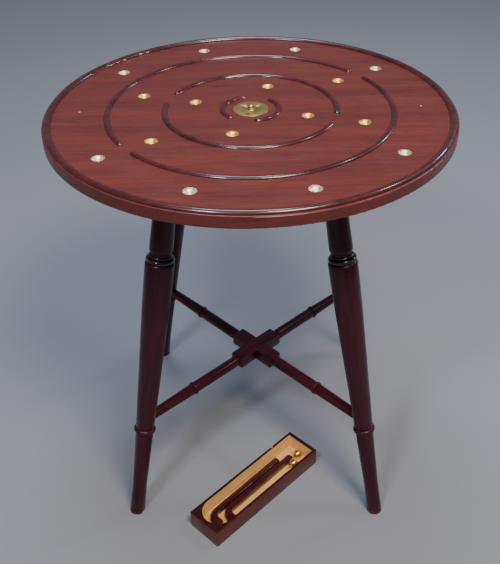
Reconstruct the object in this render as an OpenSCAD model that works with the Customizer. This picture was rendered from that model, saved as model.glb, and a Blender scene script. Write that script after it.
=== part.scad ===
// Round parlour games table: a turned mahogany stand carries a circular board with
// ring beads and metal cups, and a small box on the floor holds its strikers and balls.
// Millimetres. The origin is on the floor under the middle of the top, +Z is up, and the
// box lies towards the front, which is -Y.

/* [Top] */
// Diameter of the round top board
top_d = 610; // [580:1:740]
// Height of the playing surface above the floor
surface_h = 663; // [540:1:800]
// Thickness of the top board
board_t = 18; // [16:0.5:26]
// Rounding of the board's upper and lower edges
edge_round = 1.6; // [0.5:0.1:3]
// Flat left outside the rim bead
rim_inset = 2; // [1:0.5:6]
// Width of the rim bead
rim_w = 11.5; // [8:0.5:16]
// Height of the rim bead
rim_h = 5; // [3:0.1:5.5]

/* [Ring beads] */
// Radius of the outer ring's centre line
ring_outer_r = 212; // [200:1:225]
// Radius of the middle ring's centre line
ring_middle_r = 128; // [112:1:145]
// Radius of the inner ring's centre line
ring_inner_r = 42; // [38:1:60]
// Width of a ring bead
ring_w = 9.5; // [6:0.5:12]
// Height of a ring bead
ring_h = 3.5; // [2:0.1:4]
// Clear gap that a ball passes through in the outer ring
gap_outer = 27; // [20:1:45]
// Clear gap in the middle ring
gap_middle = 34; // [20:1:45]
// Clear gap in the inner ring
gap_inner = 33; // [20:1:40]

/* [Cups] */
// Radius of the circle of outer cups
cups_outer_r = 254; // [240:1:265]
// Radius of the circle of middle cups
cups_middle_r = 172; // [155:1:185]
// Radius of the circle of inner cups
cups_inner_r = 87.5; // [75:0.5:105]
// Outside diameter of a cup's rim
cup_d = 18.6; // [16:0.1:22]
// Width of a cup's flat rim
cup_rim_w = 1.1; // [0.8:0.1:1.6]
// Depth of a cup's dish
cup_depth = 5.4; // [5:0.1:7]
// Thickness of a cup's metal
cup_wall = 0.6; // [0.5:0.1:1]
// Diameter of a start spot
spot_d = 4; // [2:0.5:6]

/* [Centre plate] */
// Diameter of the brass centre plate
plate_d = 53; // [40:1:60]
// Thickness of the centre plate
plate_t = 1.4; // [1:0.1:2.5]
// Depth of the plate's recess in the board
plate_sink = 1; // [0.5:0.1:1.5]
// Diameter of the stud's foot
stud_d = 10.6; // [8:0.2:14]
// Height of the stud above the plate
stud_h = 7; // [5:0.5:10]
// Radius of the circle of plate screws
plate_screws_r = 10.5; // [9.5:0.5:16]

/* [Legs] */
// Turn of the whole stand about the middle of the top
stand_turn = -1.9; // [-5:0.1:5]
// Distance from the middle of the table to a foot's centre on the floor
foot_r = 295; // [250:1:340]
// Distance from the middle to a leg's axis at the playing surface
leg_top_r = 153; // [120:1:180]
// Diameter of a foot at the floor
foot_d = 25; // [20:0.2:32]
// Diameter just below the knop
ankle_d = 29.2; // [24:0.2:34]
// Diameter of the knop ring
knop_d = 36; // [31:0.2:42]
// Diameter just above the knop
shin_d = 30.4; // [26:0.2:36]
// Largest diameter, near the shoulder
shoulder_d = 44.8; // [38:0.2:54]
// Distance along the leg from the floor to the knop
knop_s = 180; // [140:1:182]
// Distance along the leg from the floor to the top of the shoulder
shoulder_s = 494; // [400:1:530]
// Height of the ebonised collar
collar_h = 11; // [8:0.5:16]
// Diameter of the collar's large bead
collar_d = 43.2; // [38:0.2:52]
// Diameter of the collar's small bead, above the large one
collar_top_d = 35.6; // [33:0.2:38]
// Diameter of the upper leg just above the collar's neck
thigh_d = 35.8; // [31:0.2:40]
// Diameter of the upper leg at its top
leg_head_d = 29.2; // [26:0.2:36]
// Diameter of the spigot that joins the two lengths of a leg
spigot_d = 18; // [12:0.5:22]
// Depth of the spigot in the lower leg
spigot_depth = 36; // [20:1:60]
// Diameter of the tenon in the batten
tenon_d = 20; // [14:0.5:24]

/* [Cross rails] */
// Height of the rails' centre line above the floor
rail_h = 194; // [192:1:230]
// Diameter of a rail beside the middle block
rail_mid_d = 19.4; // [15:0.2:20]
// Diameter of a rail at the legs
rail_end_d = 16.6; // [12:0.2:18]
// Diameter of the small ring on each arm
rail_knop_d = 22.6; // [20:0.2:26]
// Distance from the middle of the table to that ring
rail_knop_r = 149; // [100:1:180]
// Half length of the square middle block
block_half = 48.5; // [35:0.5:60]
// Width of the middle block
block_w = 26; // [22:0.5:34]
// Height of the middle block
block_t = 21; // [19:0.5:30]
// How far a rail runs past the leg's axis
rail_past = 4; // [2:0.5:7]

/* [Battens] */
// Width of a batten under the board
batten_w = 58; // [50:1:80]
// Length of a batten
batten_l = 420; // [380:5:460]
// Thickness of a batten
batten_t = 22; // [18:1:30]
// Length of a batten screw
batten_screw_l = 30; // [26:1:32]

/* [Striker box] */
// Outside length of the box
box_l = 253; // [245:1:280]
// Outside width of the box
box_w = 66; // [62:1:80]
// Outside height of the box
box_h = 35; // [28:1:60]
// Thickness of the box's long walls
box_wall = 5; // [4:0.5:7]
// Thickness of the box's ends where they are thinnest
box_end = 7.5; // [5:0.5:9]
// Thickness of the box's bottom
box_floor = 6; // [4:0.5:10]
// Direction of the box's length, turned from +X
box_turn = 45; // [0:1:60]
// X of the box's nearest corner
box_x = -72; // [-90:1:-60]
// Y of the box's nearest corner
box_y = -285; // [-295:1:-275]

/* [Strikers and balls] */
// Length of a striker
striker_l = 182; // [150:1:184]
// Width of a striker's shaft
shaft_w = 11; // [8:0.5:12]
// Width of a striker's head
head_w = 17; // [12:0.5:20]
// Height of a striker's head across the shaft
head_h = 33.5; // [30:0.5:35]
// Thickness of a striker
striker_t = 10; // [7:0.5:14]
// Diameter of a ball
ball_d = 16; // [12:0.5:18]

/* [Hidden] */
$fn = 96;
CUP_GROUPS = [
    ["outer", cups_outer_r, [36, 72, 108, 144, 216, 252, 288, 324]],
    ["middle", cups_middle_r, [36, 162, 216, 342]],
    ["inner", cups_inner_r, [72, 162, 252, 342]]
];
// Each ring: name, centre line radius, direction of its first gap, clear gap.
RINGS = [
    ["outer", ring_outer_r, 36, gap_outer],
    ["middle", ring_middle_r, 162, gap_middle],
    ["inner", ring_inner_r, 74, gap_inner]
];
CORNERS = ["back_right", "back_left", "front_left", "front_right"];
SIDES = ["left", "right"];
SIDE_SIGN = [-1, 1];

fit = 0.05;             // gap round a glued or screwed joint
loose = 0.3;            // gap under a loose piece
eps = 0.01;             // run-out of a cut past a face
big = 3 * surface_h;    // larger than the whole table

top_r = top_d / 2;
board_z = surface_h - board_t;
lean = atan((foot_r - leg_top_r) / surface_h);
rim_r = top_r - rim_inset - rim_w / 2;

cup_r = cup_d / 2;
cup_mouth_r = cup_r - cup_rim_w;
dish_r = (pow(cup_mouth_r, 2) + pow(cup_depth, 2)) / (2 * cup_depth);
dish_rise = dish_r - cup_depth;
cup_flange_t = 0.8;
cup_seat_r = sqrt(pow(dish_r + cup_wall, 2) - pow(dish_rise + cup_flange_t, 2)) + 2 * fit;
cup_socket = cup_depth + cup_wall + 0.2;
spot_t = 5;

stud_foot_t = 1.6;
stud_pin_d = 5;
stud_pin_l = 8;
plate_z = surface_h - plate_sink;
plate_top = plate_z + plate_t;
plate_screw_d = 2;
plate_screw_l = 7;
plate_screw_head_d = 3.6;
plate_screws = [30, 150, 270];

batten_z = board_z - batten_t;
batten_mid_r = leg_top_r + (surface_h - batten_z - batten_t / 2) * tan(lean);
batten_x = batten_mid_r * cos(45);
batten_bevel = 14;
batten_screw_d = 4;
batten_screw_head_d = 8;
batten_screws_y = [-batten_l * 0.42, -50, 50, batten_l * 0.42];

rail_leg_r = leg_top_r + (surface_h - rail_h) * tan(lean);
rail_end_r = rail_leg_r + rail_past;
rail_socket_r = rail_leg_r - 30;

neck_d = 31;
collar_s = shoulder_s + collar_h;
// Direction of a leg from the middle of the table.
function leg_turn(corner) = 45 + stand_turn + 90 * corner;

cavity_w = box_w - 2 * box_wall;
cavity_l = box_l - 2 * box_end;
bend_r = head_h - head_w / 2;
striker_gap = 2;
striker_1_at = [box_end + 12, box_w - box_wall - 8 - head_h];
striker_2_at = [striker_1_at[0] + head_w + 5.5, striker_1_at[1] - shaft_w - striker_gap];
striker_turn = 0.7;
ball_1_at = [box_l - box_end - 32, box_wall + 8.5 + ball_d / 2];
ball_2_at = [box_l - box_end - 2 - ball_d / 2, box_wall + 18 + ball_d / 2];

MAHOGANY = [0.50, 0.24, 0.20];
DARK_MAHOGANY = [0.30, 0.11, 0.12];
EBONISED = [0.06, 0.05, 0.06];
BRASS = [0.78, 0.64, 0.34];
WHITE_METAL = [0.80, 0.80, 0.78];
STEEL = [0.45, 0.43, 0.40];
BOX_WOOD = [0.60, 0.32, 0.22];

// A low bead's section: an arc of the given chord and height, standing on y = 0.
module bead_section(w, h) {
    arc_r = (w * w / 4 + h * h) / (2 * h);
    translate([0, h - arc_r])
        intersection() {
            circle(arc_r);
            translate([-w, arc_r - h]) square([2 * w, h + 1]);
        }
}

// Right half of a bead's section, which turns into its rounded end.
module half_bead_section(w, h) {
    intersection() {
        bead_section(w, h);
        square([w, h + 1]);
    }
}

// The rounded end of a bead: it overlaps the bead a hair and stands as much proud of it.
module bead_end(w, h) {
    translate([0, -2 * eps, 0]) rotate_extrude(angle = 180) half_bead_section(w + 2 * eps, h + eps);
}

// A bead bent round the Z axis, with a rounded end at each side.
module bead_arc(r, w, h, from, to) {
    rotate([0, 0, from]) {
        rotate_extrude(angle = to - from) translate([r, 0]) bead_section(w, h);
        translate([r, 0, 0]) rotate([0, 0, 180]) bead_end(w, h);
        rotate([0, 0, to - from]) translate([r, 0, 0]) bead_end(w, h);
    }
}

// A countersunk screw pointing down from z = 0, with a slot across its head.
module countersunk_screw(d, head_d, l) {
    head_t = (head_d - d) / 2;
    slot_w = head_d * 0.14;
    difference() {
        union() {
            translate([0, 0, -head_t]) cylinder(h = head_t, d1 = d, d2 = head_d);
            translate([0, 0, -l]) cylinder(h = l - head_t, d = d);
        }
        translate([-head_d, -slot_w / 2, -head_t / 2]) cube([2 * head_d, slot_w, head_t]);
    }
}

// The hole that such a screw goes in, with the fit round it.
module screw_hole(d, head_d, l) {
    head_t = (head_d - d) / 2;
    translate([0, 0, -head_t]) cylinder(h = head_t + eps, d1 = d + 2 * fit, d2 = head_d + 2 * fit + 2 * eps);
    translate([0, 0, -l - fit]) cylinder(h = l, d = d + 2 * fit);
}

// Stands children on the cup at one place in a group, with the playing surface at z = 0.
module at_cup(group, k) {
    rotate([0, 0, group[2][k]]) translate([group[1], 0, surface_h]) children();
}

module at_plate_screws() {
    for (a = plate_screws) rotate([0, 0, a]) translate([plate_screws_r, 0, plate_top]) children();
}

// Stands children head down at each batten screw, seated in the batten's underside.
module at_batten_screws(side) {
    for (y = batten_screws_y)
        rotate([0, 0, stand_turn]) translate([SIDE_SIGN[side] * batten_x, y, batten_z])
            rotate([180, 0, 0]) children();
}

// Puts children on a leg's own axis, with z along the leg from the floor.
module on_leg(corner) {
    rotate([0, 0, leg_turn(corner)]) translate([foot_r, 0, 0]) rotate([0, -lean, 0]) children();
}

module on_box() {
    translate([box_x, box_y, 0]) rotate([0, 0, box_turn]) children();
}

module cup_socket() {
    translate([0, 0, -cup_flange_t]) cylinder(h = cup_flange_t + eps, r = cup_r + fit);
    translate([0, 0, -cup_socket]) cylinder(h = cup_socket, r = cup_seat_r);
}

module top_board() {
    color(MAHOGANY) difference() {
        translate([0, 0, board_z]) rotate_extrude() difference() {
            square([top_r, board_t]);
            for (y = [0, 1])
                translate([top_r, y * board_t]) difference() {
                    square(2 * edge_round, center = true);
                    translate([-edge_round, (1 - 2 * y) * edge_round]) circle(edge_round);
                }
        }
        for (group = CUP_GROUPS)
            for (k = [0 : len(group[2]) - 1])
                at_cup(group, k) cup_socket();
        for (sign = SIDE_SIGN)
            translate([sign * cups_outer_r, 0, surface_h - spot_t]) cylinder(h = spot_t + eps, d = spot_d + 2 * fit);
        translate([0, 0, plate_z]) cylinder(h = plate_sink + eps, d = plate_d + 2 * fit);
        translate([0, 0, plate_z - stud_pin_l - fit]) cylinder(h = stud_pin_l + 1, d = stud_pin_d + 2 * fit);
        at_plate_screws() screw_hole(plate_screw_d, plate_screw_head_d, plate_screw_l);
        for (side = [0, 1])
            at_batten_screws(side) screw_hole(batten_screw_d, batten_screw_head_d, batten_screw_l);
    }
}

module rim_bead() {
    color(MAHOGANY) translate([0, 0, surface_h])
        rotate_extrude() translate([rim_r, 0]) bead_section(rim_w, rim_h);
}

// One half of a ring: it runs from the first gap to the second, or on round to the first.
module ring_half(ring, half) {
    half_gap = (ring[3] + ring_w) / 2 / ring[1] * 180 / PI;
    start = ring[2] + 180 * half;
    color(MAHOGANY) translate([0, 0, surface_h])
        bead_arc(ring[1], ring_w, ring_h, start + half_gap, start + 180 - half_gap);
}

// A spun metal cup: a spherical dish under a flat rim.
module cup(group, k) {
    color(group[0] == "outer" ? WHITE_METAL : BRASS) at_cup(group, k)
        rotate_extrude() difference() {
            union() {
                translate([0, -cup_flange_t]) square([cup_r, cup_flange_t]);
                intersection() {
                    translate([0, dish_rise]) circle(dish_r + cup_wall);
                    translate([0, -cup_socket]) square([cup_r, cup_socket - cup_flange_t / 2]);
                }
            }
            translate([0, dish_rise]) circle(dish_r);
        }
}

module start_spot(side) {
    color(BRASS) translate([SIDE_SIGN[side] * cups_outer_r, 0, surface_h - spot_t + fit])
        cylinder(h = spot_t - fit, d = spot_d);
}

module centre_plate() {
    color(BRASS) difference() {
        translate([0, 0, plate_z]) cylinder(h = plate_t, d = plate_d);
        translate([0, 0, plate_z - 1]) cylinder(h = plate_t + 2, d = stud_pin_d + 2 * fit);
        at_plate_screws() screw_hole(plate_screw_d, plate_screw_head_d, plate_screw_l);
    }
}

// The stud: a pin through the plate, a round foot and a domed head.
module centre_stud() {
    head_r = stud_d * 0.4;
    color(BRASS) translate([0, 0, plate_top]) {
        translate([0, 0, -plate_t - stud_pin_l]) cylinder(h = plate_t + stud_pin_l, d = stud_pin_d);
        cylinder(h = stud_foot_t, d = stud_d);
        translate([0, 0, stud_foot_t]) cylinder(h = stud_h - stud_foot_t - head_r, r = head_r);
        translate([0, 0, stud_h - head_r]) intersection() {
            sphere(head_r);
            cylinder(h = head_r + 1, r = head_r + 1);
        }
    }
}

module plate_screws() {
    color(BRASS) at_plate_screws() countersunk_screw(plate_screw_d, plate_screw_head_d, plate_screw_l);
}

module batten(side) {
    color(DARK_MAHOGANY) difference() {
        rotate([0, 0, stand_turn]) translate([SIDE_SIGN[side] * batten_x - batten_w / 2, 0, batten_z])
            rotate([90, 0, 90]) linear_extrude(batten_w) polygon([
                [-batten_l / 2 + batten_bevel, 0], [batten_l / 2 - batten_bevel, 0],
                [batten_l / 2, batten_bevel], [batten_l / 2, batten_t],
                [-batten_l / 2, batten_t], [-batten_l / 2, batten_bevel]
            ]);
        for (corner = side == 0 ? [1, 2] : [0, 3])
            on_leg(corner) cylinder(h = big, d = tenon_d + 2 * fit);
        at_batten_screws(side) screw_hole(batten_screw_d, batten_screw_head_d, batten_screw_l);
    }
}

module batten_screws() {
    color(STEEL) for (side = [0, 1])
        at_batten_screws(side) countersunk_screw(batten_screw_d, batten_screw_head_d, batten_screw_l);
}

// Foot, knop ring, tapered shaft and rounded shoulder, turned in one length.
module leg_lower(corner) {
    knop_t = 9;
    round_r = 5;
    straight = 50;
    color(DARK_MAHOGANY) difference() {
        on_leg(corner) rotate_extrude() {
            polygon([
                [0, -10], [foot_d / 2, -10], [foot_d / 2, 0], [foot_d / 2 - 0.4, knop_s * 0.35],
                [ankle_d / 2, knop_s], [shin_d / 2, knop_s], [shoulder_d / 2, shoulder_s - straight],
                [shoulder_d / 2, shoulder_s - round_r], [shoulder_d / 2 - round_r, shoulder_s - round_r],
                [shoulder_d / 2 - round_r, shoulder_s], [0, shoulder_s]
            ]);
            translate([knop_d / 2 - knop_t / 2, knop_s]) circle(d = knop_t);
            translate([0, knop_s - knop_t / 2]) square([knop_d / 2 - knop_t / 2, knop_t]);
            translate([shoulder_d / 2 - round_r, shoulder_s - round_r]) intersection() {
                circle(round_r);
                square(round_r);
            }
        }
        translate([-big / 2, -big / 2, -big]) cube(big);
        on_leg(corner) translate([0, 0, shoulder_s - spigot_depth - 1]) cylinder(h = spigot_depth + 2, d = spigot_d + 2 * fit);
        rotate([0, 0, leg_turn(corner)]) translate([rail_socket_r, 0, rail_h]) rotate([0, 90, 0])
            cylinder(h = rail_end_r - rail_socket_r + 2 * fit, d = rail_end_d + 2 * fit);
    }
}

// The ebonised ring between the two lengths of a leg: a small bead over a large one.
module leg_collar(corner) {
    low_t = collar_h * 0.62;
    high_t = collar_h * 0.44;
    color(EBONISED) on_leg(corner) translate([0, 0, shoulder_s]) difference() {
        rotate_extrude() {
            square([collar_d / 2 - low_t / 2, low_t]);
            translate([collar_d / 2 - low_t / 2, low_t / 2]) circle(d = low_t);
            square([collar_top_d / 2 - high_t / 2, collar_h]);
            translate([collar_top_d / 2 - high_t / 2, collar_h - high_t / 2]) circle(d = high_t);
        }
        translate([0, 0, -1]) cylinder(h = collar_h + 2, d = spigot_d + 2 * fit);
    }
}

// The upper length: spigot, neck, taper and the tenon that goes through the batten.
module leg_upper(corner) {
    neck_l = 3;
    swell_l = 4;
    color(DARK_MAHOGANY) {
        intersection() {
            on_leg(corner) {
                translate([0, 0, shoulder_s - spigot_depth]) cylinder(h = spigot_depth + collar_h + 1, d = spigot_d);
                translate([0, 0, collar_s]) cylinder(h = neck_l, d = neck_d);
                translate([0, 0, collar_s + neck_l]) cylinder(h = swell_l, d1 = neck_d, d2 = thigh_d);
                translate([0, 0, collar_s + neck_l + swell_l])
                    cylinder(h = (surface_h / cos(lean) - collar_s), d1 = thigh_d, d2 = leg_head_d);
            }
            translate([-big / 2, -big / 2, batten_z - big]) cube(big);
        }
        intersection() {
            on_leg(corner) translate([0, 0, collar_s + 20]) cylinder(h = big, d = tenon_d);
            translate([-big / 2, -big / 2, batten_z - 20]) cube([big, big, batten_t + 20]);
        }
    }
}

// One arm of a rail along +X: ring, taper and the end that goes into the leg.
module rail_arm() {
    knop_t = 6;
    end_l = 26;
    taper_end = rail_leg_r - end_l;
    rotate([0, 90, 0]) rotate_extrude() {
        polygon([
            [0, block_half - 5], [rail_mid_d / 2 - 1, block_half - 5], [rail_mid_d / 2 - 1, block_half + 3],
            [rail_mid_d / 2, block_half + 7], [rail_mid_d / 2, rail_knop_r], [rail_end_d / 2, taper_end],
            [rail_end_d / 2, rail_end_r], [0, rail_end_r]
        ]);
        translate([rail_knop_d / 2 - knop_t / 2, rail_knop_r]) circle(d = knop_t);
        translate([0, rail_knop_r - knop_t / 2]) square([rail_knop_d / 2 - knop_t / 2, knop_t]);
    }
}

// A cross rail with its half of the lap joint cut away below (over = 1) or above (over = 0).
module cross_rail(over) {
    lap_w = block_w + 2 * fit;
    color(DARK_MAHOGANY) translate([0, 0, rail_h]) rotate([0, 0, leg_turn(1 - over)]) difference() {
        union() {
            cube([2 * block_half, block_w, block_t], center = true);
            rail_arm();
            rotate([0, 0, 180]) rail_arm();
        }
        translate([-lap_w / 2, -block_w, over == 1 ? -block_t : -fit / 2])
            cube([lap_w, 2 * block_w, block_t + fit / 2]);
    }
}

// A box hollowed from the solid: the cavity has one rounded and one square end.
module striker_box() {
    color(BOX_WOOD) on_box() difference() {
        cube([box_l, box_w, box_h]);
        translate([box_end, box_wall, box_floor]) linear_extrude(box_h) {
            translate([cavity_w / 2, cavity_w / 2]) circle(cavity_w / 2);
            translate([cavity_w / 2, 0]) square([cavity_l - cavity_w / 2, cavity_w]);
        }
    }
}

// Outline of a striker: a straight shaft that bends into a broad head with a round tip.
module striker_outline() {
    inner_r = bend_r - head_w + 0.5;
    translate([bend_r, head_h - shaft_w]) square([striker_l - bend_r, shaft_w]);
    translate([head_w / 2, head_w / 2]) circle(head_w / 2);
    difference() {
        translate([bend_r, head_w / 2]) intersection() {
            circle(bend_r);
            translate([-bend_r, 0]) square(bend_r);
        }
        translate([head_w, head_w / 2 - eps])
            square([bend_r, head_h - shaft_w - inner_r - head_w / 2 + eps]);
        translate([head_w + inner_r, head_h - shaft_w - inner_r]) circle(inner_r);
        translate([head_w + inner_r, 0]) square([bend_r, head_h - shaft_w]);
    }
}

module striker(at) {
    color(DARK_MAHOGANY) on_box() translate([at[0], at[1], box_floor + loose])
        rotate([0, 0, striker_turn]) linear_extrude(striker_t) striker_outline();
}

module ball(at) {
    color(BRASS) on_box() translate([at[0], at[1], box_floor + loose + ball_d / 2]) sphere(d = ball_d);
}

top_board();
rim_bead();
centre_plate();
centre_stud();
plate_screws();
for (ring = RINGS)
    for (half = [1, 2])
        ring_half(ring, half - 1);
for (group = CUP_GROUPS)
    for (k = [1 : len(group[2])])
        cup(group, k - 1);
for (side = [0, 1]) {
    start_spot(side);
    batten(side);
}
batten_screws();
for (corner = [0 : 3]) {
    leg_lower(corner);
    leg_collar(corner);
    leg_upper(corner);
}
cross_rail(1);  // cross_rail_over
cross_rail(0);  // cross_rail_under
striker_box();
striker(striker_1_at);  // striker_1
striker(striker_2_at);  // striker_2
ball(ball_1_at);  // ball_1
ball(ball_2_at);  // ball_2
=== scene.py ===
import math

import bmesh
import bpy
from mathutils import Matrix, Vector


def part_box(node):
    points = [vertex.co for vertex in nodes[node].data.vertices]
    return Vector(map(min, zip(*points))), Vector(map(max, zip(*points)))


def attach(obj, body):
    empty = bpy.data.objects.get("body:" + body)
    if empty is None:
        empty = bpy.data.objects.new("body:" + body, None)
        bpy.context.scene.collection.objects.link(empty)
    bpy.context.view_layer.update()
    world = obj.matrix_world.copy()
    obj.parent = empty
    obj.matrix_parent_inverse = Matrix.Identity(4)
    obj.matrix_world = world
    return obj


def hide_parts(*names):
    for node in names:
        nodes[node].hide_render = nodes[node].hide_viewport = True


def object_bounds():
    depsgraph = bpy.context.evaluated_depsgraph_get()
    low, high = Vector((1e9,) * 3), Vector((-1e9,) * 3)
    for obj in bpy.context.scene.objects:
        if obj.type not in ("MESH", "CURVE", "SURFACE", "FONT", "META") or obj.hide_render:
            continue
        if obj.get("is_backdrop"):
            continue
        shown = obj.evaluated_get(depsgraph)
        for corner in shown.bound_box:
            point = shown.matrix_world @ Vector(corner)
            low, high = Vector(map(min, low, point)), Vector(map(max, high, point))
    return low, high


# A round parlour games table. A turned mahogany stand carries a round board with ring
# beads and metal cups, and a small box on the floor holds its strikers and balls.
# Metres, in the same place as the working model: +Z is up and the box lies towards -Y.
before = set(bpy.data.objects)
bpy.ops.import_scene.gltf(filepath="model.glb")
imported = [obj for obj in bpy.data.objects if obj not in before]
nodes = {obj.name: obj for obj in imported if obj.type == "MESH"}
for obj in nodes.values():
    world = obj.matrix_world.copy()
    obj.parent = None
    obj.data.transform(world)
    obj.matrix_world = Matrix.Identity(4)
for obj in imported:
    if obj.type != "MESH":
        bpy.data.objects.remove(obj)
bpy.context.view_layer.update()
MM = 0.001

# ---------------------------------------------------------------- The viewpoint
# A standing person's view from the front, looking down on the board and through to the
# floor. The lens is a little off centre, so the shift is small.
camera_data = bpy.data.cameras.new("viewpoint")
camera_data.lens = 51.75
camera_data.sensor_width = 36
camera_data.shift_x = -0.0355
camera = bpy.data.objects.new("viewpoint", camera_data)
bpy.context.scene.collection.objects.link(camera)
bpy.context.scene.camera = camera
eye = Vector((0, -1.1255, 1.1682))
yaw, pitch, roll = (math.radians(angle) for angle in (1.34, 36.25, -0.47))
level = Vector((math.cos(yaw), -math.sin(yaw), 0))
ahead = Vector((math.sin(yaw) * math.cos(pitch), math.cos(yaw) * math.cos(pitch),
                -math.sin(pitch)))
upright = level.cross(ahead)
across = level * math.cos(roll) + upright * math.sin(roll)
above = upright * math.cos(roll) - level * math.sin(roll)
aim = Matrix((across, above, -ahead)).transposed().to_4x4()
camera.matrix_world = Matrix.Translation(eye) @ aim


# ---------------------------------------------------------------- Lower legs
# Four splayed legs of Cuban mahogany, each turned in one length: a plain foot, a bamboo
# ring, and a shaft that swells to a rounded shoulder. Stained and French polished to a
# deep purple brown with narrow soft lights, and rubbed paler low down on the feet.
def linear(hex_code):
    """An sRGB hex colour as linear light, with full opacity."""
    parts = [int(hex_code[i:i + 2], 16) / 255 for i in (1, 3, 5)]
    return [p / 12.92 if p <= 0.04045 else ((p + 0.055) / 1.055) ** 2.4 for p in parts] + [1]


def add(tree, kind, inputs, **settings):
    """Adds a shader node; each input is a plain value or the socket that feeds it."""
    new = tree.nodes.new("ShaderNode" + kind)
    for name, value in settings.items():
        setattr(new, name, value)
    for key, value in inputs.items():
        if isinstance(value, bpy.types.NodeSocket):
            tree.links.new(value, new.inputs[key])
        else:
            new.inputs[key].default_value = value
    return new


def blank(name):
    """A new material with nothing in it but its surface shader."""
    material = bpy.data.materials.new(name)
    material.use_nodes = True
    return material, material.node_tree, material.node_tree.nodes["Principled BSDF"]


def mahogany(name, pale, dark, along, gloss, coat, coat_rough=0.12, ior=1.4, scuff=None):
    """French polished mahogany, its grain running along the given frame's Z axis.

    Broad figure, finer ribbons and short dark pores colour the wood, and the polish over
    them is a thin coat with the faint ripple of a hand-rubbed surface. A scuff is the
    height in metres up to which the wood is worn.
    """
    # Millimetres across and along the grain. Real pores are about a third as wide, too
    # fine to show, so they are drawn coarser.
    figure, ribbon, pore = (22, 260), (3.2, 90), (1.1, 15)
    ripple, rub = 38, 9
    pore_colour, worn_colour = "#1C0A0A", "#6B3A2A"
    material, tree, surface = blank(name)
    place = along.inverted()
    spot = add(tree, "TexCoord", {}).outputs["Object"]
    grain = add(tree, "Mapping", {"Vector": spot, "Location": place.translation,
                                  "Rotation": place.to_euler()})

    def streaks(size, detail, warp):
        wide, long = size
        scaled = add(tree, "VectorMath", {
            0: grain.outputs[0], 1: [1 / wide / MM, 1 / wide / MM, 1 / long / MM]
        }, operation="MULTIPLY")
        return add(tree, "TexNoise", {"Vector": scaled.outputs[0], "Scale": 1.0, "Detail": detail,
                                      "Roughness": 0.6, "Distortion": warp}).outputs["Fac"]

    broad = streaks(figure, 3.0, 0.5)
    fine = streaks(ribbon, 4.0, 0.2)
    specks = streaks(pore, 1.0, 0.0)
    tone = add(tree, "Math", {0: broad, 1: fine}, operation="ADD")
    tone = add(tree, "MapRange", {"Value": tone.outputs[0], "From Min": 0.72, "From Max": 1.28})
    body = add(tree, "Mix", {0: tone.outputs[0], 6: linear(dark), 7: linear(pale)},
               data_type="RGBA")
    pores = add(tree, "MapRange", {"Value": specks, "From Min": 0.60, "From Max": 0.72,
                                   "To Max": 0.45})
    body = add(tree, "Mix", {0: pores.outputs[0], 6: body.outputs[2], 7: linear(pore_colour)},
               data_type="RGBA")
    if scuff:
        height = add(tree, "SeparateXYZ", {0: spot}).outputs["Z"]
        low = add(tree, "MapRange", {"Value": height, "From Min": 0.0, "From Max": scuff,
                                     "To Min": 1.0, "To Max": 0.0})
        rubs = add(tree, "TexNoise", {"Vector": spot, "Scale": 1 / (rub * MM), "Detail": 4.0,
                                      "Roughness": 0.65})
        rubs = add(tree, "MapRange", {"Value": rubs.outputs["Fac"], "From Min": 0.48,
                                      "From Max": 0.66})
        worn = add(tree, "Math", {0: low.outputs[0], 1: rubs.outputs[0]}, operation="MULTIPLY")
        body = add(tree, "Mix", {0: worn.outputs[0], 6: body.outputs[2], 7: linear(worn_colour)},
                   data_type="RGBA")
    tree.links.new(body.outputs[2], surface.inputs["Base Color"])
    waves = add(tree, "TexNoise", {"Vector": spot, "Scale": 1 / (ripple * MM), "Detail": 2.0})
    rough = add(tree, "MapRange", {"Value": waves.outputs["Fac"], "From Min": 0.3, "From Max": 0.7,
                                   "To Min": gloss - 0.05, "To Max": gloss + 0.08})
    tree.links.new(rough.outputs[0], surface.inputs["Roughness"])
    relief = add(tree, "Math", {0: waves.outputs["Fac"], 1: specks}, operation="SUBTRACT")
    bump = add(tree, "Bump", {"Height": relief.outputs[0], "Strength": 0.05, "Distance": 0.4 * MM})
    tree.links.new(bump.outputs[0], surface.inputs["Normal"])
    surface.inputs["IOR"].default_value = ior
    surface.inputs["Coat Weight"].default_value = coat
    surface.inputs["Coat Roughness"].default_value = coat_rough
    surface.inputs["Coat IOR"].default_value = 1.45
    return material


def turn(mesh, profile, closed=False, steps=96):
    """Turns a profile of (radius, height, rounding) points, in millimetres, about Z."""
    before = set(mesh.verts)
    points = [mesh.verts.new((radius * MM, 0, height * MM)) for radius, height, _ in profile]
    for lower, upper in zip(points, points[1:] + points[:1] if closed else points[1:]):
        mesh.edges.new((lower, upper))
    for point, (_, _, rounding) in zip(points, profile):
        if rounding:
            bmesh.ops.bevel(mesh, geom=[point], offset=rounding * MM, offset_type="OFFSET",
                            segments=6, profile=0.5, affect="VERTICES", material=-1)
    line = [v for v in mesh.verts if v not in before]
    bmesh.ops.spin(mesh, geom=line + [e for e in mesh.edges if e.verts[0] in line],
                   axis=(0, 0, 1), cent=(0, 0, 0), dvec=(0, 0, 0), angle=math.tau, steps=steps,
                   use_merge=True)
    turned = [v for v in mesh.verts if v not in before]
    bmesh.ops.remove_doubles(mesh, verts=turned, dist=0.002 * MM)
    turned = [v for v in turned if v.is_valid]
    bmesh.ops.recalc_face_normals(mesh, faces=list({f for v in turned for f in v.link_faces}))
    return turned


def saw_off(mesh, height, facing):
    """Cuts away what lies beyond a level plane, up or down, and returns the cut's edges."""
    cut = bmesh.ops.bisect_plane(mesh, geom=mesh.verts[:] + mesh.edges[:] + mesh.faces[:],
                                 dist=1e-6, plane_co=(0, 0, height), plane_no=(0, 0, facing),
                                 clear_outer=True)
    return [e for e in cut["geom_cut"] if isinstance(e, bmesh.types.BMEdge)]


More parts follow.
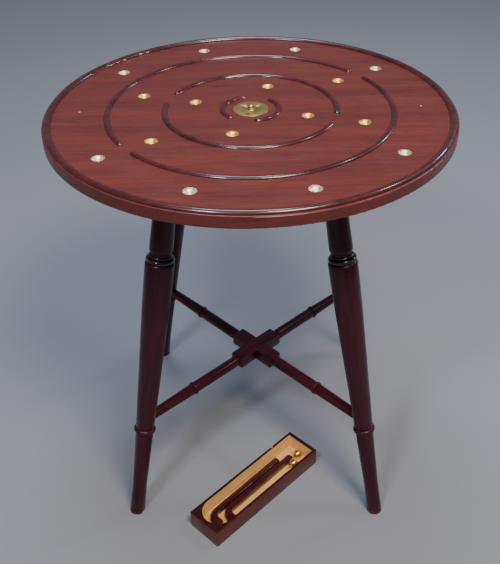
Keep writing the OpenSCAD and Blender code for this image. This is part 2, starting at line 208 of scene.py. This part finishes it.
def ease(mesh, edges, radius, segments=3, clamp=False):
    """Rounds edges over, by a radius in millimetres."""
    bmesh.ops.bevel(mesh, geom=edges, offset=radius * MM, offset_type="OFFSET",
                    segments=segments, profile=0.5, affect="EDGES", material=-1,
                    clamp_overlap=clamp)


def piece(name, mesh, body, slot, replaced, *materials):
    """Makes a finished mesh into a piece that rides on a body and stands for CAD nodes."""
    data = bpy.data.meshes.new(name)
    mesh.to_mesh(data)
    mesh.free()
    data.shade_smooth()
    data.set_sharp_from_angle(angle=math.radians(42))
    for material in materials:
        data.materials.append(material)
    made = bpy.data.objects.new(name, data)
    bpy.context.scene.collection.objects.link(made)
    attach(made, body)
    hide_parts(*replaced)
    return made


foot_r, leg_top_r, surface_h = 0.295, 0.153, 0.663
lean = math.atan((foot_r - leg_top_r) / surface_h)
stand_turn = -1.9       # degrees, the whole stand against the pattern on the board
corners = {"back_right": 45 + stand_turn, "back_left": 135 + stand_turn,
           "front_left": 225 + stand_turn, "front_right": 315 + stand_turn}
ring_at, shoulder_at = 180, 494     # millimetres up a leg from the floor
leg_axes, leg_woods = {}, {}
for corner, direction in corners.items():
    leg_axes[corner] = (Matrix.Rotation(math.radians(direction), 4, "Z")
                        @ Matrix.Translation((foot_r, 0, 0)) @ Matrix.Rotation(-lean, 4, "Y"))
    leg_woods[corner] = mahogany("polished_mahogany_leg_" + corner, "#451321", "#260914",
                                 along=leg_axes[corner], gloss=0.32, coat=0.2, ior=1.3, scuff=0.03)
    mesh = bmesh.new()
    turn(mesh, [
        (0, -10, 0), (12.5, -10, 0), (12.5, 0, 0), (12.1, 63, 0), (14.6, ring_at - 5.8, 0.6),
        (13.1, ring_at - 4.5, 0), (18, ring_at - 4.5, 4.4), (18, ring_at + 4.5, 4.4),
        (13.1, ring_at + 4.5, 0), (15.2, ring_at + 6, 0.6), (22.4, shoulder_at - 50, 25),
        (22.4, shoulder_at, 5), (0, shoulder_at, 0)
    ])
    bmesh.ops.transform(mesh, matrix=leg_axes[corner], verts=mesh.verts)
    sole = saw_off(mesh, 0, -1)
    bmesh.ops.edgeloop_fill(mesh, edges=sole)
    ease(mesh, sole, 1.6, segments=4)
    piece("leg_" + corner + "_lower_turning", mesh, "table", "mahogany_leg",
          ["leg_lower_" + corner], leg_woods[corner])

# ---------------------------------------------------------------- Ebonised collars
# A ring of hardwood stained black and polished, slipped over the spigot between the two
# lengths of each leg: a small bead over a large one. It gives near black with sharp lights.
ebonised, tree, surface = blank("ebonised_hardwood_collar")
spot = add(tree, "TexCoord", {}).outputs["Object"]
rubbing = add(tree, "TexNoise", {"Vector": spot, "Scale": 1 / (6 * MM), "Detail": 4.0})
stain = add(tree, "Mix", {0: rubbing.outputs["Fac"], 6: linear("#0B0809"), 7: linear("#22171A")},
            data_type="RGBA")
tree.links.new(stain.outputs[2], surface.inputs["Base Color"])
sheen = add(tree, "MapRange", {"Value": rubbing.outputs["Fac"], "To Min": 0.14, "To Max": 0.3})
tree.links.new(sheen.outputs[0], surface.inputs["Roughness"])
surface.inputs["Coat Weight"].default_value = 0.7
surface.inputs["Coat Roughness"].default_value = 0.08
spigot_r, collar_top = 9, shoulder_at + 11
for corner in corners:
    mesh = bmesh.new()
    turn(mesh, [
        (spigot_r + 0.05, shoulder_at, 0), (19, shoulder_at, 0), (21.6, shoulder_at + 0.2, 2.6),
        (21.6, shoulder_at + 6.8, 3.3), (16.2, shoulder_at + 6.9, 0.2),
        (17.8, shoulder_at + 7, 1.9), (17.8, collar_top, 2), (spigot_r + 0.05, collar_top, 0)
    ], closed=True)
    bmesh.ops.transform(mesh, matrix=leg_axes[corner], verts=mesh.verts)
    piece("collar_" + corner + "_beads", mesh, "table", "ebonised", ["leg_collar_" + corner],
          ebonised)


# ---------------------------------------------------------------- Upper legs
# The upper length of each leg: a spigot that goes down through the collar, a short neck,
# a plain taper, and a tenon let into the batten. Same timber and polish as below.
def points_of(geometry):
    """The vertices among what an operator returns."""
    return [v for v in geometry if isinstance(v, bmesh.types.BMVert)]


batten_low, batten_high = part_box("batten_left")
tenon_shoulder = 4.9
for corner in corners:
    mesh = bmesh.new()
    turn(mesh, [
        (0, shoulder_at - 36, 0), (spigot_r, shoulder_at - 36, 0.8), (spigot_r, collar_top, 0),
        (15.5, collar_top, 0.5), (15.5, collar_top + 2.6, 1.5), (17.9, collar_top + 7.4, 2.5),
        (14.6, 678, 0), (0, 678, 0)
    ])
    bmesh.ops.transform(mesh, matrix=leg_axes[corner], verts=mesh.verts)
    rim = saw_off(mesh, batten_low.z, 1)
    head = bmesh.ops.edgeloop_fill(mesh, edges=rim)["faces"]
    bmesh.ops.inset_region(mesh, faces=head, thickness=tenon_shoulder * MM)
    tenon = bmesh.ops.extrude_face_region(mesh, geom=head)["geom"]
    bmesh.ops.delete(mesh, geom=head, context="FACES_ONLY")
    rise = batten_high.z - batten_low.z
    run = leg_axes[corner].to_3x3() @ Vector((0, 0, 1))
    bmesh.ops.translate(mesh, vec=run * (rise / run.z), verts=points_of(tenon))
    piece("leg_" + corner + "_upper_turning", mesh, "table", "mahogany_leg",
          ["leg_upper_" + corner], leg_woods[corner])

# ---------------------------------------------------------------- Cross rails
# Two turned stretchers that cross under the board, each with a square block in its middle
# and a small ring on each arm. The blocks are halved into each other and glued.
rail_h, block_half, block_w, block_t = 0.194, 48.5, 26, 21
lap, half_t = block_w / 2 + 0.05, block_t / 2
arm_ring = 149      # millimetres out from the middle
arm = [
    (0, 43, 0), (8.7, 43, 0), (8.7, 51, 0.8), (9.7, 55, 1.5), (9.7, arm_ring - 3.7, 0.4),
    (8.5, arm_ring - 3, 0), (11.3, arm_ring - 3, 2.3), (11.3, arm_ring + 3, 2.3),
    (8.5, arm_ring + 3, 0), (9.6, arm_ring + 3.7, 0.4), (8.3, 227.5, 10), (8.3, 257.4, 0.4),
    (0, 257.4, 0)
]
for rail, direction, side in (("over", 45 + stand_turn, 1), ("under", 135 + stand_turn, -1)):
    mesh = bmesh.new()
    outline = [(-block_half, -half_t), (-lap, -half_t), (-lap, 0.02), (lap, 0.02),
               (lap, -half_t), (block_half, -half_t), (block_half, half_t), (-block_half, half_t)]
    wall = mesh.faces.new([mesh.verts.new((x * MM, -block_w / 2 * MM, z * side * MM))
                           for x, z in outline])
    grown = bmesh.ops.extrude_face_region(mesh, geom=[wall])["geom"]
    bmesh.ops.translate(mesh, vec=(0, block_w * MM, 0), verts=points_of(grown))
    bmesh.ops.recalc_face_normals(mesh, faces=mesh.faces)
    ease(mesh, [e for e in mesh.edges
                if e.calc_face_angle(0) > 1 and abs(e.verts[0].co.z) > 1 * MM], 1.1)
    for facing in (90, -90):
        bmesh.ops.transform(mesh, matrix=Matrix.Rotation(math.radians(facing), 4, "Y"),
                            verts=turn(mesh, arm, steps=64))
    place = (Matrix.Translation((0, 0, rail_h))
             @ Matrix.Rotation(math.radians(direction), 4, "Z"))
    bmesh.ops.transform(mesh, matrix=place, verts=mesh.verts)
    wood = mahogany("polished_mahogany_rail_" + rail, "#461420", "#260912",
                    along=place @ Matrix.Rotation(math.radians(90), 4, "Y"),
                    gloss=0.3, coat=0.2, ior=1.3)
    piece("rail_" + rail + "_turning", mesh, "table", "mahogany_leg", ["cross_rail_" + rail],
          wood)


# ---------------------------------------------------------------- Battens
# Two flat mahogany bearers under the board that take the legs' tenons, with their ends
# bevelled, held up by countersunk steel wood screws gone dull brown with age.
def merged_copy(node):
    """A CAD node's loose triangles as one closed mesh with whole flat faces."""
    mesh = bmesh.new()
    mesh.from_mesh(nodes[node].data)
    bmesh.ops.remove_doubles(mesh, verts=mesh.verts, dist=0.0001 * MM)
    bmesh.ops.dissolve_limit(mesh, angle_limit=math.radians(0.4), use_dissolve_boundaries=False,
                             verts=mesh.verts, edges=mesh.edges)
    return mesh


def arrises(mesh, over=0.6):
    """The edges where two faces meet at more than an angle in radians."""
    return [e for e in mesh.edges if e.calc_face_angle(0) > over]


bearer_grain = (Matrix.Rotation(math.radians(stand_turn), 4, "Z")
                @ Matrix.Rotation(math.radians(90), 4, "X"))
bearer = mahogany("oiled_mahogany_batten", "#58281E", "#351511", along=bearer_grain, gloss=0.45,
                  coat=0.15, coat_rough=0.3)
for side in ("left", "right"):
    mesh = merged_copy("batten_" + side)
    ease(mesh, arrises(mesh), 0.9, clamp=True)
    piece("bearer_" + side, mesh, "table", "mahogany_leg", ["batten_" + side], bearer)

steel, tree, surface = blank("aged_steel_screw")
spot = add(tree, "TexCoord", {}).outputs["Object"]
tarnish = add(tree, "TexNoise", {"Vector": spot, "Scale": 1 / (2 * MM), "Detail": 4.0})
tint = add(tree, "Mix", {0: tarnish.outputs["Fac"], 6: linear("#6E665C"), 7: linear("#A09A92")},
           data_type="RGBA")
tree.links.new(tint.outputs[2], surface.inputs["Base Color"])
surface.inputs["Metallic"].default_value = 1.0
surface.inputs["Roughness"].default_value = 0.42
nodes["batten_screws"].material_slots[0].material = steel

# ---------------------------------------------------------------- Board and beads
# The playing board: one wide piece of straight-grained mahogany turned to a disc with
# rounded arrises, its grain from left to right. Its polish has gone soft with use, while
# the half-round beads planted round it keep their shine. The beads are coloured darker
# than the board, which is painted shade for their steep sides.
straight = Matrix.Rotation(math.radians(90), 4, "Y")
nodes["top_board"].material_slots[0].material = mahogany(
    "polished_mahogany_board", "#6A2C22", "#4C2120", along=straight, gloss=0.38, coat=0.3,
    coat_rough=0.24)
# Painted shade: the bead colours are darker than the board's to stand for the shade on the beads'
# steep sides.
bead_wood_painted_shade = mahogany("polished_mahogany_bead_painted_shade", "#521E1E", "#280E14", along=straight, gloss=0.27,
                     coat=0.7, coat_rough=0.1)
nodes["rim_bead"].material_slots[0].material = bead_wood_painted_shade
for ring in ("outer", "middle", "inner"):
    for half in (1, 2):
        nodes["ring_%s_%d" % (ring, half)].material_slots[0].material = bead_wood_painted_shade


# ---------------------------------------------------------------- Cups
# Sixteen shallow cups spun from thin sheet, pushed into sockets in the board with their
# flat rims level with it: silvery white metal in the outer circle, yellow brass inside it.
def polished_metal(name, bright, dull, rough, size=3.5):
    """Hand polished metal with cloudy tarnish, of a size in millimetres, and fine rubs."""
    rub = 0.9       # millimetres between rub marks, coarser than real ones so they show
    material, tree, surface = blank(name)
    spot = add(tree, "TexCoord", {}).outputs["Object"]
    clouds = add(tree, "TexNoise", {"Vector": spot, "Scale": 1 / (size * MM), "Detail": 5.0,
                                    "Roughness": 0.6})
    mask = add(tree, "MapRange", {"Value": clouds.outputs["Fac"], "From Min": 0.38,
                                  "From Max": 0.66})
    tint = add(tree, "Mix", {0: mask.outputs[0], 6: linear(bright), 7: linear(dull)},
               data_type="RGBA")
    tree.links.new(tint.outputs[2], surface.inputs["Base Color"])
    haze = add(tree, "MapRange", {"Value": clouds.outputs["Fac"], "From Min": 0.3, "From Max": 0.7,
                                  "To Min": rough * 0.75, "To Max": rough * 1.4})
    tree.links.new(haze.outputs[0], surface.inputs["Roughness"])
    rubs = add(tree, "TexNoise", {"Vector": spot, "Scale": 1 / (rub * MM), "Detail": 2.0})
    bump = add(tree, "Bump", {"Height": rubs.outputs["Fac"], "Strength": 0.03,
                              "Distance": 0.1 * MM})
    tree.links.new(bump.outputs[0], surface.inputs["Normal"])
    surface.inputs["Metallic"].default_value = 1.0
    return material


white_metal = polished_metal("polished_white_metal_cup", "#FFF1D0", "#DCC8A0", 0.42)
yellow_brass = polished_metal("polished_brass_cup", "#FFE28A", "#E2BC5C", 0.4)
cup_circles = {"outer": (8, white_metal, "white_metal"), "middle": (4, yellow_brass, "brass"),
               "inner": (4, yellow_brass, "brass")}
dish_r, dish_depth, mouth_r, rim_r, sheet = 8.926, 5.4, 8.2, 9.3, 0.6
proud = 0.12        # the rim stands this far above the board
dish_centre = (0, 0, (dish_r - dish_depth) * MM)
for circle, (count, metal, slot) in cup_circles.items():
    for k in range(1, count + 1):
        low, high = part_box("cup_%s_%d" % (circle, k))
        mesh = bmesh.new()
        bottom = mesh.verts.new((0, 0, -dish_depth * MM))
        bmesh.ops.spin(mesh, geom=[bottom], axis=(0, -1, 0), cent=dish_centre, dvec=(0, 0, 0),
                       angle=math.asin(mouth_r / dish_r), steps=12)
        mouth = max(mesh.verts, key=lambda v: v.co.x)
        lip = mesh.verts.new((rim_r * MM, 0, proud * MM))
        mesh.edges.new((mouth, lip))
        bmesh.ops.spin(mesh, geom=mesh.verts[:] + mesh.edges[:], axis=(0, 0, 1), cent=(0, 0, 0),
                       dvec=(0, 0, 0), angle=math.tau, steps=64, use_merge=True)
        bmesh.ops.remove_doubles(mesh, verts=mesh.verts, dist=0.002 * MM)
        bmesh.ops.recalc_face_normals(mesh, faces=mesh.faces)
        if min(mesh.faces, key=lambda f: f.calc_center_median().z).normal.z < 0:
            bmesh.ops.reverse_faces(mesh, faces=mesh.faces)
        bmesh.ops.solidify(mesh, geom=mesh.faces, thickness=sheet * MM)
        bmesh.ops.recalc_face_normals(mesh, faces=mesh.faces)
        bmesh.ops.translate(mesh, vec=((low.x + high.x) / 2, (low.y + high.y) / 2, surface_h),
                            verts=mesh.verts)
        piece("spun_cup_%s_%d" % (circle, k), mesh, "table", slot, ["cup_%s_%d" % (circle, k)],
              metal)

# ---------------------------------------------------------------- Start spots
# Two small brass pins driven in level with the board, one at each side, where a ball is
# placed to start. Their heads are filed very slightly domed.
pin_r, pin_end = 2, -4.9
for side in ("left", "right"):
    low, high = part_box("start_spot_" + side)
    mesh = bmesh.new()
    turn(mesh, [(0, pin_end, 0), (pin_r, pin_end, 0.3), (pin_r, 0.12, 0.25), (0, 0.2, 0)],
         steps=32)
    bmesh.ops.translate(mesh, vec=((low.x + high.x) / 2, 0, surface_h), verts=mesh.verts)
    piece("start_pin_" + side, mesh, "table", "brass", ["start_spot_" + side], yellow_brass)

# ---------------------------------------------------------------- Centre plate
# A thick brass disc let into the middle of the board and held by three screws. Years of
# handling have left it olive, with lighter streaks. A short domed stud stands in it.
patina = polished_metal("patinated_brass_plate", "#D8C082", "#92793F", 0.4, size=9)
# The screw heads are coloured much darker than the plate they sit in.
dark_screw_brass = polished_metal("dark_brass_screw", "#87744A", "#443820", 0.5, size=1.5)
stud_brass = polished_metal("polished_brass_stud", "#D6C08C", "#8F7A4C", 0.3, size=2)
plate_low, plate_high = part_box("centre_plate")
mesh = merged_copy("centre_plate")
ease(mesh, [e for e in arrises(mesh) if e.verts[0].co.xy.length > 24 * MM
            and e.verts[0].co.z > plate_low.z + 1 * MM], 0.38)
piece("inlaid_plate", mesh, "table", "brass", ["centre_plate"], patina)
nodes["plate_screws"].material_slots[0].material = dark_screw_brass
mesh = bmesh.new()
turn(mesh, [
    (0, -9.4, 0), (2.5, -9.4, 0.4), (2.5, 0, 0), (5.3, 0, 0.2), (5.3, 1.6, 0.9), (3.7, 1.7, 0.2),
    (3.9, 2.6, 0.4), (4.24, 3, 0.3), (4.24, 7, 4.1), (0, 7, 0)
], steps=48)
bmesh.ops.translate(mesh, vec=(0, 0, plate_high.z), verts=mesh.verts)
piece("domed_stud", mesh, "table", "brass", ["centre_stud"], stud_brass)


# ---------------------------------------------------------------- Striker box
# A tray cut from one block of mahogany, rounded at one end inside and square at the
# other. Polished outside and left bare inside, where the wood has stayed pale. Its brim
# is coloured nearly black, and has lost a small chip that shows the bare wood.
def raise_walls(mesh, faces, height):
    """Draws walls up from faces and returns the edges round their open top."""
    rising = bmesh.ops.extrude_face_region(mesh, geom=faces, use_keep_orig=True)["geom"]
    lid = [f for f in rising if isinstance(f, bmesh.types.BMFace)]
    top = list({e for f in lid for e in f.edges})
    bmesh.ops.translate(mesh, vec=(0, 0, height * MM),
                        verts=list({v for f in lid for v in f.verts}))
    bmesh.ops.delete(mesh, geom=lid, context="FACES_ONLY")
    return top


box_l, box_w, box_h = 253, 66, 35
box_wall, box_end, box_floor = 5, 7.5, 6
box_place = (Matrix.Translation((-0.072, -0.285, 0))
             @ Matrix.Rotation(math.radians(45), 4, "Z"))
box_grain = box_place @ Matrix.Rotation(math.radians(90), 4, "Y")
mesh = bmesh.new()
well = [mesh.verts.new((x * MM, y * MM, box_floor * MM)) for x, y in (
    (box_end, box_wall), (box_l - box_end, box_wall),
    (box_l - box_end, box_w - box_wall), (box_end, box_w - box_wall))]
for a, b in zip(well, well[1:] + well[:1]):
    mesh.edges.new((a, b))
bmesh.ops.bevel(mesh, geom=[well[0], well[3]], offset=(box_w / 2 - box_wall - 0.05) * MM,
                offset_type="OFFSET", segments=20, profile=0.5, affect="VERTICES", material=-1)
bed = bmesh.ops.edgeloop_fill(mesh, edges=mesh.edges)["faces"]
mouth = raise_walls(mesh, bed, box_h - box_floor)
inside = mesh.faces[:]
base = mesh.faces.new([mesh.verts.new((x * MM, y * MM, 0))
                       for x, y in ((0, 0), (box_l, 0), (box_l, box_w), (0, box_w))])
brim = raise_walls(mesh, [base], box_h)
for face in inside:
    face.material_index = 1
bmesh.ops.triangle_fill(mesh, edges=brim + mouth, use_beauty=True, use_dissolve=True)
bmesh.ops.recalc_face_normals(mesh, faces=mesh.faces)
ease(mesh, arrises(mesh), 0.7, clamp=True)
for face in mesh.faces:
    if face.calc_center_median().z > (box_h - 0.5) * MM:
        face.material_index = 2
bmesh.ops.transform(mesh, matrix=box_place, verts=mesh.verts)
box_polish = mahogany("polished_mahogany_box", "#762C1E", "#42140F", along=box_grain, gloss=0.36,
                      coat=0.25, coat_rough=0.2)
box_bare = mahogany("bare_mahogany_inside", "#F0C47A", "#CC9550", along=box_grain, gloss=0.62,
                    coat=0.0)
# Faces within half a millimetre of the top are coloured nearly black.
dark_box_brim = mahogany("dark_mahogany_brim", "#3A1310", "#1E0909", along=box_grain, gloss=0.42,
                    coat=0.15)
tree = dark_box_brim.node_tree
colour = tree.nodes["Principled BSDF"].inputs["Base Color"]
chip_at, chip_r, chip_fade = Vector((201, box_w - 1.5, box_h)), 1.6, 1.0
spot = add(tree, "TexCoord", {}).outputs["Object"]
reach = add(tree, "VectorMath", {0: spot, 1: box_place @ (chip_at * MM)}, operation="DISTANCE")
bare = add(tree, "MapRange", {"Value": reach.outputs["Value"], "From Min": chip_r * MM,
                              "From Max": (chip_r + chip_fade) * MM, "To Min": 1.0, "To Max": 0.0})
chipped = add(tree, "Mix", {0: bare.outputs[0], 6: colour.links[0].from_socket,
                            7: linear("#C8925A")}, data_type="RGBA")
tree.links.new(chipped.outputs[2], colour)
piece("tray_box", mesh, "box", "box_wood", ["striker_box"], box_polish, box_bare, dark_box_brim)

# ---------------------------------------------------------------- Strikers
# Two small bent sticks like walking-stick handles, sawn from dark mahogany, their edges
# well rounded and polished bright. They lie on their sides in the tray.
striker_t = 10
lift, cant = 0.3, 0.7       # millimetres off the bed, and degrees off its long side
stick = [(182, 22.5, 1.5), (182, 33.5, 2.5), (0, 33.5, 24.9), (0, 0, 8.45), (17, 0, 8.45),
         (17, 22.5, 8.5)]
for k, body, x, y in ((1, "striker_one", 19.5, 19.5), (2, "striker_two", 42, 6.5)):
    mesh = bmesh.new()
    marks = [mesh.verts.new((a * MM, b * MM, 0)) for a, b, _ in stick]
    for a, b in zip(marks, marks[1:] + marks[:1]):
        mesh.edges.new((a, b))
    for mark, (_, _, rounding) in zip(marks, stick):
        bmesh.ops.bevel(mesh, geom=[mark], offset=rounding * MM, offset_type="OFFSET",
                        segments=14, profile=0.5, affect="VERTICES", material=-1)
    flat = bmesh.ops.edgeloop_fill(mesh, edges=mesh.edges)["faces"]
    rising = bmesh.ops.extrude_face_region(mesh, geom=flat, use_keep_orig=True)["geom"]
    bmesh.ops.translate(mesh, vec=(0, 0, striker_t * MM), verts=points_of(rising))
    bmesh.ops.recalc_face_normals(mesh, faces=mesh.faces)
    ease(mesh, arrises(mesh, over=1), 3, segments=5, clamp=True)
    place = (box_place @ Matrix.Translation((x * MM, y * MM, (box_floor + lift) * MM))
             @ Matrix.Rotation(math.radians(cant), 4, "Z"))
    bmesh.ops.transform(mesh, matrix=place, verts=mesh.verts)
    wood = mahogany("polished_mahogany_striker_%d" % k, "#4A1A1C", "#260B10", along=box_grain,
                    gloss=0.22, coat=0.7, coat_rough=0.08)
    piece("bent_striker_%d" % k, mesh, body, "striker_wood", ["striker_%d" % k], wood)

# ---------------------------------------------------------------- Balls
# Two solid brass balls, turned and burnished bright, with a little brown tarnish where
# fingers have not rubbed it off.
burnished = polished_metal("burnished_brass_ball", "#F8E2B0", "#CBAC70", 0.25, size=5)
for k, body in ((1, "ball_one"), (2, "ball_two")):
    low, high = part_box("ball_%d" % k)
    mesh = bmesh.new()
    bmesh.ops.create_icosphere(mesh, subdivisions=5, radius=(high.x - low.x) / 2)
    bmesh.ops.translate(mesh, vec=(low + high) / 2, verts=mesh.verts)
    piece("burnished_ball_%d" % k, mesh, body, "brass", ["ball_%d" % k], burnished)

# ---------------------------------------------------------------- Floor and light
# A plain pale floor that runs out of sight. A wide warm lamp stands in front on the right
# and a small cool one on the left, two weaker ones stand far over to the right, and a
# wide one high up behind lights the floor at the back.
floor_paint, tree, surface = blank("pale_matt_floor")
surface.inputs["Base Color"].default_value = linear("#8A8F95")
surface.inputs["Roughness"].default_value = 0.85
surface.inputs["Specular IOR Level"].default_value = 0.2
mesh = bmesh.new()
bmesh.ops.create_grid(mesh, x_segments=2, y_segments=2, size=12)
data = bpy.data.meshes.new("floor")
mesh.to_mesh(data)
mesh.free()
data.materials.append(floor_paint)
floor = bpy.data.objects.new("floor", data)
bpy.context.scene.collection.objects.link(floor)
floor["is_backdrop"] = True

for name, power, size, place, target, colour in (
    ("lamp_front_right", 58, 0.7, (0.6, -1.25, 2.5), (0, 0, 0.5), "#FFEBD8"),
    ("lamp_front_left", 27, 0.35, (-0.75, -1.4, 2.3), (0, 0, 0.5), "#E6EAFF"),
    ("lamp_right", 8, 0.25, (1.6, 0.1, 2.3), (0, 0, 0.5), "#FFFFFF"),
    ("lamp_window", 12, 0.4, (2.2, 1.2, 1.6), (0, 0, 0.4), "#C6D4FF"),
    ("lamp_back", 56, 1.0, (-0.1, 0.8, 3.3), (0, 1.8, 0), "#EEF0FF"),
):
    lamp = bpy.data.lights.new(name, "AREA")
    lamp.energy, lamp.size, lamp.color = power, size, linear(colour)[:3]
    stand = bpy.data.objects.new(name, lamp)
    stand.location = place
    stand.rotation_euler = (Vector(target) - Vector(place)).to_track_quat("-Z", "Y").to_euler()
    bpy.context.scene.collection.objects.link(stand)

sky = bpy.data.worlds.new("pale_room")
bpy.context.scene.world = sky
sky.use_nodes = True
sky.node_tree.nodes["Background"].inputs["Color"].default_value = linear("#D5DBE6")
sky.node_tree.nodes["Background"].inputs["Strength"].default_value = 0.24

low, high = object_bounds()
